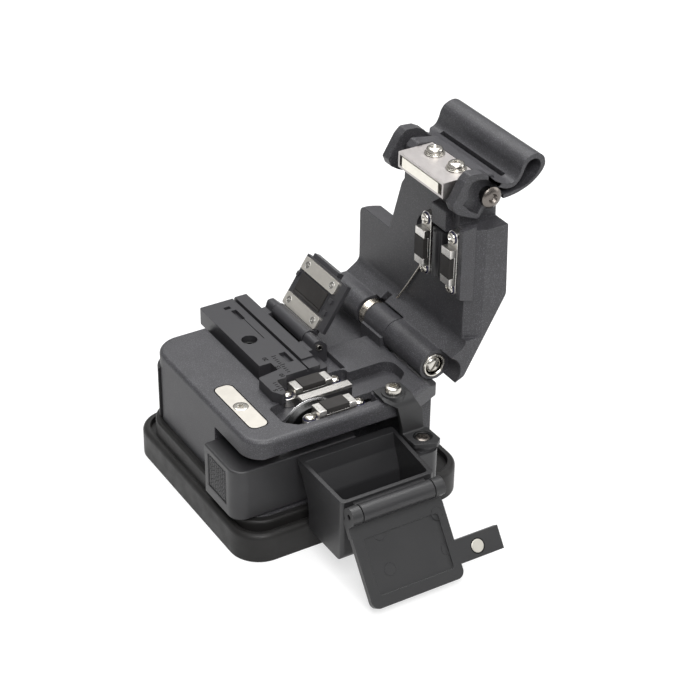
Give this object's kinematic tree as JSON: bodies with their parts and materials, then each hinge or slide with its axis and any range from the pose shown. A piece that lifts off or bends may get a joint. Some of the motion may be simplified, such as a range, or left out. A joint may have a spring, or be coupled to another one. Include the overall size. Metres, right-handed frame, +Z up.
{
  "type": "fibre cleaver",
  "caption": "Bench fibre cleaver with a hinged lid, sliding round blade, fibre clamp, rubber skirted base and a scrap box with its own flap.",
  "frame": {"origin": "centre of the rubber skirt's footprint on the surface that the cleaver stands on", "axes": "+X right towards the lid hinge, +Y back along the fibre, +Z up"},
  "size_m": [0.0998, 0.105, 0.1003],
  "materials": {
    "coated_casting": "dark grey powder coat with a fine speckle",
    "anodised": "satin dark grey anodised",
    "black_plastic": "smooth dark grey moulding",
    "coated_steel": "dark painted steel strip",
    "skirt_rubber": "black rubber",
    "pad_rubber": "brown grey rubber",
    "nickel": "nickel plated",
    "steel": "plain steel",
    "blade_steel": "ground steel",
    "black_steel": "blackened",
    "screw_steel": "bright plated",
    "bronze_steel": "dark nickel",
    "magnet": "plated magnet"
  },
  "bodies": {
    "base": {"base_skirt": "skirt_rubber", "base_plate": "steel", "base_plate_screws": "screw_steel", "main_body": "coated_casting", "keeper_plate": "nickel", "keeper_screw": "screw_steel", "rear_cover": "coated_casting", "adapter_plate": "anodised", "adapter_screw": "screw_steel", "clamp_pin": "steel", "rear_lower_bracket": "nickel", "front_lower_bracket": "nickel", "rear_lower_pad": "pad_rubber", "front_lower_pad": "pad_rubber", "lower_pad_screws": "screw_steel", "guide_block": "black_plastic", "guide_strip": "nickel", "slide_rail": "steel", "hinge_pin": "steel", "scrap_box": "black_plastic", "bracket_arm": "coated_steel", "bracket_screw": "screw_steel", "striker_screw": "black_steel", "scrap_hinge_pin": "steel"},
    "fibre_clamp": {"clamp_lid": "anodised", "clamp_strip_near": "nickel", "clamp_strip_far": "nickel", "clamp_screws": "screw_steel", "clamp_pad": "pad_rubber"},
    "slider": {"slider_cover": "black_plastic", "thumb_grip": "black_plastic", "blade_carriage": "anodised", "blade_axle": "steel"},
    "blade": {"blade_disc": "blade_steel", "blade_hub": "black_steel"},
    "lid": {"lid_casting": "coated_casting", "rear_upper_bracket": "nickel", "front_upper_bracket": "nickel", "rear_upper_pad": "pad_rubber", "front_upper_pad": "pad_rubber", "upper_pad_screws": "screw_steel", "magnet_holder": "nickel", "lid_magnet": "magnet", "magnet_screws": "screw_steel", "hinge_bush": "nickel", "lid_spring": "steel", "pivot_screws": "bronze_steel"},
    "anvil": {"anvil": "black_steel"},
    "handle": {"release_handle": "coated_casting"},
    "scrap_flap": {"scrap_lid": "black_plastic", "scrap_magnet": "magnet"}
  },
  "joints": [
    {"name": "lid_hinge", "type": "hinge", "parent": "base", "child": "lid", "pos_m": [0.0294, 0, 0.04], "axis": [0, -1, 0], "range_deg": [0, 94]},
    {"name": "clamp_hinge", "type": "hinge", "parent": "base", "child": "fibre_clamp", "pos_m": [0.006, 0, 0.0405], "axis": [0, -1, 0], "range_deg": [0, 123]},
    {"name": "handle_hinge", "type": "hinge", "parent": "lid", "child": "handle", "pos_m": [0.0432, 0, 0.091], "axis": [0, -1, 0], "range_deg": [0, 12], "stiffness_Nm_per_rad": 0.2},
    {"name": "anvil_slide", "type": "slide", "parent": "lid", "child": "anvil", "axis": [1, 0, 0], "range_m": [0, 0.001], "stiffness_N_per_m": 200},
    {"name": "blade_slide", "type": "slide", "parent": "base", "child": "slider", "axis": [1, 0, 0], "range_m": [0, 0.016]},
    {"name": "blade_turn", "type": "hinge", "parent": "slider", "child": "blade", "pos_m": [-0.008, -0.0211, 0.0291], "axis": [0, 1, 0], "continuous": true},
    {"name": "flap_hinge", "type": "hinge", "parent": "base", "child": "scrap_flap", "pos_m": [0, -0.0567, 0.025], "axis": [-1, 0, 0], "range_deg": [0, 234]}
  ],
  "couplings": [
    {"joint": "clamp_hinge", "follows": "lid_hinge", "ratio": 1.3085}
  ]
}
